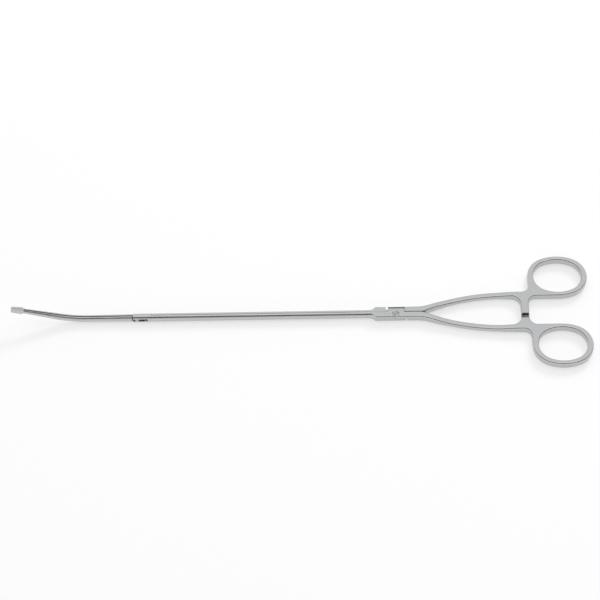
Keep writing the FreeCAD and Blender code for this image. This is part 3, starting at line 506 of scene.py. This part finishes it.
def lathe(
    name: str,
    radii: np.ndarray,
    heights: np.ndarray,
    centre: tuple[float, float],
    turns: int = 72,
) -> bpy.types.Mesh:
    """Turned piece: a profile swung round an upright axis, closed at both ends.

    Formula: a point is (centre + radius * cos(angle), centre + radius * sin(angle), height), for
    every profile point and every angle. The profile starts and ends on the axis, where its ring is
    one point.

    Args:
        name: Name of the mesh.
        radii: Radius of each profile point, from the bottom to the top, zero at both ends.
        heights: Height of each profile point.
        centre: Place of the axis.
        turns: Points round the axis.

    Returns:
        The closed mesh.
    """
    angle = np.linspace(0, 2 * math.pi, turns, endpoint=False)
    ring_r = radii[1:-1, None]
    x = centre[0] + ring_r * np.cos(angle)
    y = centre[1] + ring_r * np.sin(angle)
    z = np.repeat(heights[1:-1, None], turns, axis=1)
    rings = np.stack([x, y, z], axis=-1).reshape(-1, 3)
    poles = np.array([[*centre, heights[0]], [*centre, heights[-1]]])
    low_pole = len(rings)
    here = np.arange(turns)
    ahead = (here + 1) % turns
    row = np.arange(len(radii) - 3)[:, None] * turns
    # Corners a, b, c and d of the wall's squares run anticlockwise from outside.
    a = (row + here).ravel()
    b = (row + ahead).ravel()
    c = b + turns
    d = a + turns
    last = low_pole - turns
    faces = [
        np.stack([a, b, c], axis=1),
        np.stack([a, c, d], axis=1),
        np.stack([np.full(turns, low_pole), ahead, here], axis=1),
        np.stack([np.full(turns, low_pole + 1), last + here, last + ahead], axis=1),
    ]
    return mesh_from_arrays(name, np.concatenate([rings, poles]), np.concatenate(faces))


@dataclass
class SubAssembly:
    """Group of nodes of the frame that are dressed alike, and the body that carries each node."""

    title: str
    nodes: tuple[str, ...]
    body_of: dict[str, str]

    def skin(self, node: str, finish: bpy.types.Material, slot: str) -> bpy.types.Object:
        """Puts a joined, finely shaded skin in place of a node.

        Args:
            node: Name of the node in the frame.
            finish: Material of the skin.
            slot: The record's material slot.

        Returns:
            The new piece.
        """
        piece = self.settle(welded(frame["nodes"][node], f"{node}_skin"), node, finish, slot)
        even = piece.modifiers.new("even_faces", "WEIGHTED_NORMAL")
        even.keep_sharp = True
        even.weight = FACE_WEIGHT
        return piece

    def settle(
        self, mesh: bpy.types.Mesh, node: str, finish: bpy.types.Material, slot: str
    ) -> bpy.types.Object:
        """Dresses a finished mesh and lets it stand for its node.

        Args:
            mesh: The mesh, named as its piece.
            node: Node that it replaces.
            finish: Material of the piece.
            slot: Not used.

        Returns:
            The new piece.
        """
        piece = bpy.data.objects.new(mesh.name, mesh)
        bpy.context.scene.collection.objects.link(piece)
        mesh.materials.append(finish)
        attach(piece, self.body_of[node])
        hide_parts(node)
        LOG.info("%s: %s, %d faces", self.title, piece.name, len(mesh.polygons))
        return piece

    @staticmethod
    def upright(node: str) -> tuple[float, float]:
        """Place of the upright line through the middle of a node."""
        low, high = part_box(node)
        return ((low[0] + high[0]) / 2, (low[1] + high[1]) / 2)


@dataclass
class SatinPieces(SubAssembly):
    """Pieces that share one satin finish."""

    finish: SatinSteel = SatinSteel()
    slot: str = "satin_steel"

    def build(self) -> None:
        """Skins each piece in the finish."""
        material = self.finish.build()
        for node in self.nodes:
            self.skin(node, material, self.slot)


@dataclass
class Handles(SatinPieces):
    """Two bowed arms with finger rings, ratchet bars and the halves of the box joint.

    Tumbling before the polish leaves the forgings' edges rounder than those of the drawn rods.
    """

    finish: SatinSteel = SatinSteel(
        name="satin_steel_forging", roughness=0.27, edge_roughness=0.22, edge_round_mm=0.5
    )


@dataclass
class Shaft(SatinPieces):
    """Split shaft: two half rods, drawn and brushed along their length."""

    finish: SatinSteel = SatinSteel(name="satin_steel_drawn", lay=Lay.LENGTHWISE, roughness=0.29)


@dataclass
class Jaws(SatinPieces):
    """Two long curved jaws with serrated heads, brushed along their length in short strokes."""

    finish: SatinSteel = SatinSteel(
        name="satin_steel_jaw", lay=Lay.LENGTHWISE, roughness=0.3, line_length_mm=6.0
    )


@dataclass
class FlushPins(SatinPieces):
    """Rivets and the jaw pin, ground flush, with the satin finish of the faces round them."""

    finish: SatinSteel = SatinSteel(name="satin_steel_flush")
    slot: str = "turned_steel"


@dataclass
class Screws(SubAssembly):
    """Slotted pivot screw and the hidden guide studs, turned from bar."""

    def build(self) -> None:
        """Skins each piece, with turning marks round the upright line through its middle."""
        for node in self.nodes:
            finish = TurnedSteel(f"turned_steel_{node}", self.upright(node)).build()
            self.skin(node, finish, "turned_steel")


@dataclass
class TurnedPins(SubAssembly):
    """Link pin and the jaws' driving pin, upright and round, with softly crowned ends."""

    crown_mm: float = 0.05
    round_mm: float = 0.14
    crown_points: int = 7
    round_points: int = 5

    def profile(self, radius: float, low: float, high: float) -> tuple[np.ndarray, np.ndarray]:
        """Outline of half a pin: a shallow crown, a quarter round, the wall and the same again.

        Formula: the crown rises as 1 - (r / flat radius) squared, and the round follows a circle.

        Args:
            radius: Radius of the pin.
            low: Height of its bottom end.
            high: Height of its top end.

        Returns:
            Radii and heights, from the bottom to the top.
        """
        edge = self.round_mm * MM
        crown = self.crown_mm * MM
        flat = radius - edge
        out = np.linspace(0, flat, self.crown_points)
        swell = crown * (1 - (out / flat) ** 2)
        turn = np.linspace(0, math.pi / 2, self.round_points + 1)[1:]
        half_radii = np.concatenate([out, flat + edge * np.sin(turn)])
        depths = np.concatenate([crown - swell, crown + edge * (1 - np.cos(turn))])
        return (
            np.concatenate([half_radii, half_radii[::-1]]),
            np.concatenate([low + depths, high - depths[::-1]]),
        )

    def build(self) -> None:
        """Turns each pin to the size and place of its node."""
        for node in self.nodes:
            low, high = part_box(node)
            axis = self.upright(node)
            radii, heights = self.profile((high[0] - low[0]) / 2, low[2], high[2])
            finish = TurnedSteel(f"turned_steel_{node}", axis).build()
            mesh = lathe(f"{node}_turned", radii, heights, axis)
            self.settle(mesh, node, finish, "turned_steel")


@dataclass(frozen=True)
class SoftLamp:
    """Rectangular soft box: where it stands, what it faces and how bright its face is."""

    name: str
    place: tuple[float, float, float]
    aim: tuple[float, float, float]
    width: float
    height: float
    level: float
    colour: str = WHITE

    def build(self) -> None:
        """Adds the lamp. Its power gives the asked level on its face: pi times area times level."""
        data = bpy.data.lights.new(self.name, "AREA")
        data.shape = "RECTANGLE"
        data.size = self.width
        data.size_y = self.height
        data.energy = self.level * math.pi * self.width * self.height
        data.color = linear(self.colour)[:3]
        lamp = bpy.data.objects.new(self.name, data)
        lamp.visible_glossy = False
        lamp.location = self.place
        heading = Vector(self.place) - Vector(self.aim)
        lamp.rotation_euler = heading.to_track_quat("Z", "Y").to_euler()
        bpy.context.scene.collection.objects.link(lamp)


@dataclass
class Studio:
    """White table under a light tent, one soft lamp and the camera.

    The tent is even and pale, with a brighter roof. Its front is open to a dim room, which is what
    draws the dark lines along the rounded edges that face the camera. Slants and edges of the tent
    are the numbers that past_edge takes.
    """

    table_size: float = 30.0
    board_colour: str = "B3B3B3"
    board_lift: float = 0.61
    tent_level: float = 0.88
    roof_level: float = 1.15
    room_level: float = 0.03
    cloth_slant: float = 1.4
    cloth_edge: tuple[float, float] = (0.3, 0.76)
    apron_slant: float = 0.6
    apron_edge: tuple[float, float] = (-0.05, 0.2)
    roof_edge: tuple[float, float] = (0.87, 0.97)
    lamp: SoftLamp = SoftLamp(
        "softbox", place=(0.85, 1.5, 1.05), aim=(0.0, 0.0, 0.0), width=0.5, height=0.5, level=19.0
    )
    azimuth: float = 1.8066
    elevation: float = 57.2628
    roll: float = -2.4175
    distance: float = 1.16526
    target: tuple[float, float, float] = (-0.000555, 0.011173, 0.0025)
    view_angle: float = 18.2722
    far_limit: float = 50.0

    def table(self) -> None:
        """Lays a white table under the instrument that keeps its shadow.

        A matt board; some whiteness is added only where the camera, a mirror or glass sees it.
        """
        half = self.table_size / 2
        edge = np.array([-half, half])
        x, y = np.meshgrid(edge, edge)
        points = np.stack([x.ravel(), y.ravel(), np.zeros(4)], axis=1)
        mesh = mesh_from_arrays("table_top", points, np.array([[0, 1, 3, 2]]))
        floor = bpy.data.objects.new("table_top", mesh)
        bpy.context.scene.collection.objects.link(floor)
        material = blank_material("white_table")
        tree = material.node_tree
        path = add_node(tree, "ShaderNodeLightPath")
        seen = path.outputs["Is Camera Ray"]
        for ray in ("Is Glossy Ray", "Is Transmission Ray"):
            either = add_node(
                tree, "ShaderNodeMath", {"operation": "MAXIMUM"}, i0=seen, i1=path.outputs[ray]
            )
            seen = either.outputs["Value"]
        lift = add_node(
            tree, "ShaderNodeMath", {"operation": "MULTIPLY"}, i0=seen, i1=self.board_lift
        )
        board = add_node(tree, "ShaderNodeBsdfDiffuse", Color=linear(self.board_colour))
        glow = add_node(
            tree, "ShaderNodeEmission", Color=linear(WHITE), Strength=lift.outputs["Value"]
        )
        both = add_node(
            tree, "ShaderNodeAddShader", i0=board.outputs["BSDF"], i1=glow.outputs["Emission"]
        )
        add_node(tree, "ShaderNodeOutputMaterial", Surface=both.outputs["Shader"])
        mesh.materials.append(material)
        floor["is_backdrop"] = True

    @staticmethod
    def past_edge(
        tree: bpy.types.NodeTree,
        way: bpy.types.NodeSocket,
        slant: float,
        edge: tuple[float, float],
    ) -> bpy.types.NodeSocket:
        """How far a direction lies above a slanting edge of the tent.

        Formula: the direction's height plus the slant times its reach to the back, eased from 0 at
        the edge's lower number to 1 at its higher one.

        Args:
            tree: Node tree of the world.
            way: Direction that is looked in, a unit vector.
            slant: How much the edge sinks towards the back.
            edge: Numbers between which it eases.

        Returns:
            Socket from 0 to 1.
        """
        height = add_node(
            tree,
            "ShaderNodeVectorMath",
            {"operation": "DOT_PRODUCT"},
            i0=way,
            i1=(0.0, slant, 1.0),
        )
        eased = add_node(
            tree,
            "ShaderNodeMapRange",
            {"interpolation_type": "SMOOTHSTEP"},
            Value=height.outputs["Value"],
            From_Min=edge[0],
            From_Max=edge[1],
        )
        return eased.outputs["Result"]

    def tent(self) -> None:
        """Surrounds the table with pale cloth, open in front to a dim room.

        The cloth slants from low at the back to high over the front, with the roof straight
        overhead, and a pale apron lies low before the table. The room shows above the apron and
        below the cloth, in front and at both sides.
        """
        world = bpy.data.worlds.new("light_tent")
        world.use_nodes = True
        tree = world.node_tree
        tree.nodes.clear()
        way = add_node(tree, "ShaderNodeTexCoord").outputs["Generated"]
        front_level = add_node(
            tree,
            "ShaderNodeMapRange",
            Value=self.past_edge(tree, way, self.apron_slant, self.apron_edge),
            To_Min=self.tent_level,
            To_Max=self.room_level,
        )
        cloth_level = add_node(
            tree,
            "ShaderNodeMapRange",
            Value=self.past_edge(tree, way, 0.0, self.roof_edge),
            To_Min=self.tent_level,
            To_Max=self.roof_level,
        )
        level = add_node(
            tree,
            "ShaderNodeMix",
            {"data_type": "FLOAT"},
            i0=self.past_edge(tree, way, self.cloth_slant, self.cloth_edge),
            i2=front_level.outputs["Result"],
            i3=cloth_level.outputs["Result"],
        )
        light = add_node(
            tree, "ShaderNodeBackground", Color=linear(WHITE), Strength=level.outputs["Result"]
        )
        add_node(tree, "ShaderNodeOutputWorld", Surface=light.outputs["Background"])
        bpy.context.scene.world = world

    def camera(self) -> None:
        """Stands the camera where the photograph was taken from.

        Formula: the camera lies at the target plus distance times the unit vector at the azimuth
        and the elevation, looks back at the target, and is rolled about its own line of sight.
        """
        around = math.radians(self.azimuth)
        up = math.radians(self.elevation)
        roll = math.radians(self.roll)
        ahead = Vector((math.sin(around), -math.cos(around), 0.0))
        back = ahead * math.cos(up) + Vector((0.0, 0.0, math.sin(up)))
        level = Vector((math.cos(around), math.sin(around), 0.0))
        upright = back.cross(level)
        right = level * math.cos(roll) + upright * math.sin(roll)
        top = upright * math.cos(roll) - level * math.sin(roll)
        turn = Matrix((right, top, back)).transposed().to_4x4()
        data = bpy.data.cameras.new("camera")
        data.angle = math.radians(self.view_angle)
        data.clip_end = self.far_limit
        camera = bpy.data.objects.new("camera", data)
        camera.matrix_world = Matrix.Translation(Vector(self.target) + back * self.distance) @ turn
        scene = bpy.context.scene
        scene.collection.objects.link(camera)
        scene.camera = camera
        scene.view_settings.view_transform = "Standard"

    def build(self) -> None:
        """Sets up the table, the light and the camera."""
        self.table()
        self.tent()
        self.lamp.build()
        self.camera()
        LOG.info("studio: table, tent, lamp and camera")


def corners() -> list[list[float]]:
    """Lowest and highest corner of the shown object, as plain lists."""
    return [[float(v) for v in corner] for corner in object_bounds()]


def main() -> None:
    """Builds every sub-assembly and the studio."""
    logging.basicConfig(level=logging.INFO, format="%(message)s")
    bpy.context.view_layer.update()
    bodies = frame["record"]["behaviour"]["bodies"]
    body_of = {node: body for body, nodes in bodies.items() for node in nodes}
    studs = ("guide_stud_front", "guide_stud_middle", "guide_stud_rear")
    rivets = ("rod_rivet_front", "rod_rivet_rear")
    Handles("handles", ("far_handle", "near_handle"), body_of).build()
    Shaft("shaft", ("near_rod", "far_rod"), body_of).build()
    Jaws("jaws", ("far_jaw", "near_jaw"), body_of).build()
    Screws("screws", ("pivot_screw", *studs), body_of).build()
    TurnedPins("pins", ("link_pin", "jaw_drive_pin"), body_of).build()
    FlushPins("flush pins", ("jaw_pivot_pin", *rivets), body_of).build()
    Studio().build()


if __name__ == "__main__":
    main()
